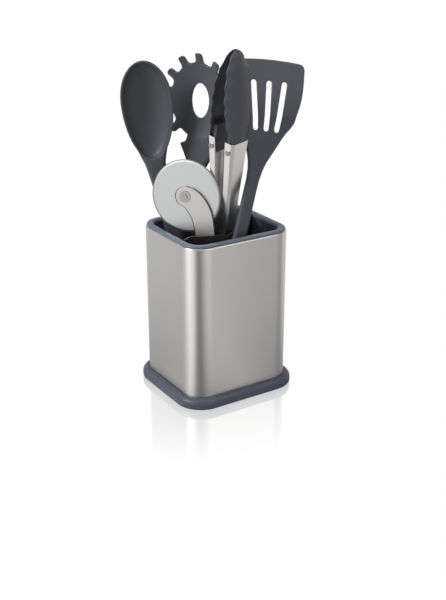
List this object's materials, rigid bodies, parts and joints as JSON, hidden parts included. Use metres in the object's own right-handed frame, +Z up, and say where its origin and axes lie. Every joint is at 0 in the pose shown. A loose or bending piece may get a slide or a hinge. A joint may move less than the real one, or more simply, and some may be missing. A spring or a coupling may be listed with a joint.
{
  "type": "utensil crock",
  "caption": "Rounded square utensil crock in brushed steel with a lift-out divided liner, holding a spoon, pasta server, slotted turner, tongs and pizza cutter.",
  "frame": {"origin": "centre of the underside of the base", "axes": "+Z up; the wide face of the crock looks along -Y, its narrow face along -X"},
  "size_m": [0.1494, 0.1242, 0.3401],
  "materials": {
    "plinth_plastic": "satin",
    "pad_rubber": "matt",
    "brushed_steel_sleeve": "brushed",
    "liner_plastic": "satin",
    "divider_steel": "satin",
    "nylon": "fine matt",
    "arm_steel": "satin",
    "wheel_steel": "satin",
    "spacer_steel": "satin",
    "slider_plastic": "satin",
    "grip_rubber": "matt"
  },
  "bodies": {
    "crock": {"base_plinth": "plinth_plastic", "non_slip_pad": "pad_rubber", "steel_sleeve": "brushed_steel_sleeve"},
    "liner": {"liner": "liner_plastic", "divider": "divider_steel"},
    "spoon": {"spoon": "nylon"},
    "server": {"pasta_server": "nylon"},
    "turner": {"slotted_turner": "nylon"},
    "tongs": {"tongs_near_arm": "arm_steel", "tongs_near_head": "nylon", "tongs_near_rivet": "arm_steel", "tongs_near_grip": "grip_rubber", "tongs_hinge_pin": "arm_steel", "tongs_spring": "arm_steel"},
    "tongs_far": {"tongs_far_arm": "arm_steel", "tongs_far_head": "nylon", "tongs_far_rivet": "arm_steel", "tongs_far_grip": "grip_rubber"},
    "tongs_lock": {"tongs_lock_slider": "slider_plastic", "tongs_ring": "arm_steel"},
    "cutter": {"cutter_arm": "arm_steel", "cutter_spacer": "spacer_steel", "cutter_rivet": "arm_steel", "cutter_ferrule": "arm_steel", "cutter_handle": "nylon"},
    "wheel": {"cutter_wheel": "wheel_steel"}
  },
  "joints": [
    {"name": "liner_lift", "type": "slide", "parent": "crock", "child": "liner", "axis": [0, 0, 1], "range_m": [0, 0.17]},
    {"name": "spoon_lift", "type": "slide", "parent": "liner", "child": "spoon", "axis": [-0.141, 0.2452, 0.9592], "range_m": [0, 0.2]},
    {"name": "server_lift", "type": "slide", "parent": "liner", "child": "server", "axis": [0.1662, 0.0251, 0.9858], "range_m": [0, 0.011]},
    {"name": "turner_lift", "type": "slide", "parent": "liner", "child": "turner", "axis": [0.2578, 0.0074, 0.9662], "range_m": [0, 0.2]},
    {"name": "tongs_lift", "type": "slide", "parent": "liner", "child": "tongs", "axis": [-0.0558, -0.197, 0.9788], "range_m": [0, 0.2]},
    {"name": "cutter_lift", "type": "slide", "parent": "liner", "child": "cutter", "axis": [0.0947, -0.0642, 0.9934], "range_m": [0, 0.001]},
    {"name": "tongs_open", "type": "hinge", "parent": "tongs", "child": "tongs_far", "pos_m": [0.00763, 0.01429, 0.03736], "axis": [-0.9679, -0.2298, -0.1014], "range_deg": [0, 5]},
    {"name": "tongs_lock", "type": "slide", "parent": "tongs", "child": "tongs_lock", "axis": [-0.0558, -0.197, 0.9788], "range_m": [0, 0.008]},
    {"name": "wheel_spin", "type": "hinge", "parent": "cutter", "child": "wheel", "pos_m": [-0.0312, 0.0022, 0.1993], "axis": [-0.801, -0.5945, 0.0702], "continuous": true}
  ]
}
